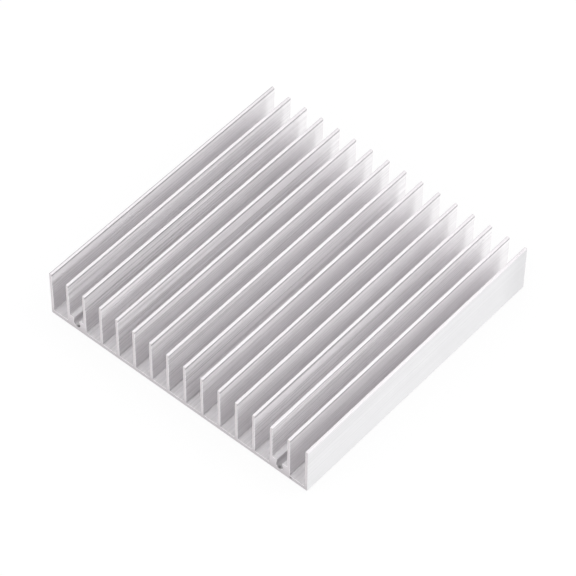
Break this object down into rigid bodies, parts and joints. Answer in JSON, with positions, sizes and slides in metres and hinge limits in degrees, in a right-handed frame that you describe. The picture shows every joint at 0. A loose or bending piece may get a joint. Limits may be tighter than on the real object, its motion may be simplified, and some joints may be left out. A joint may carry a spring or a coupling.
{
  "type": "heat sink",
  "caption": "Flat square extruded aluminium heat sink: a thin base plate with tall straight parallel fins and an open screw groove near each side.",
  "frame": {"origin": "middle of the flat underside", "axes": "+X across the fins, +Y along the fins and screw grooves, +Z from the underside up to the fin tips"},
  "size_m": [0.1, 0.1, 0.018],
  "materials": {
    "aluminium": "mill-finish extruded aluminium with fine lines along the fins and fine-sawn ends"
  },
  "bodies": {
    "root": {"heat_sink": "aluminium"}
  },
  "joints": []
}
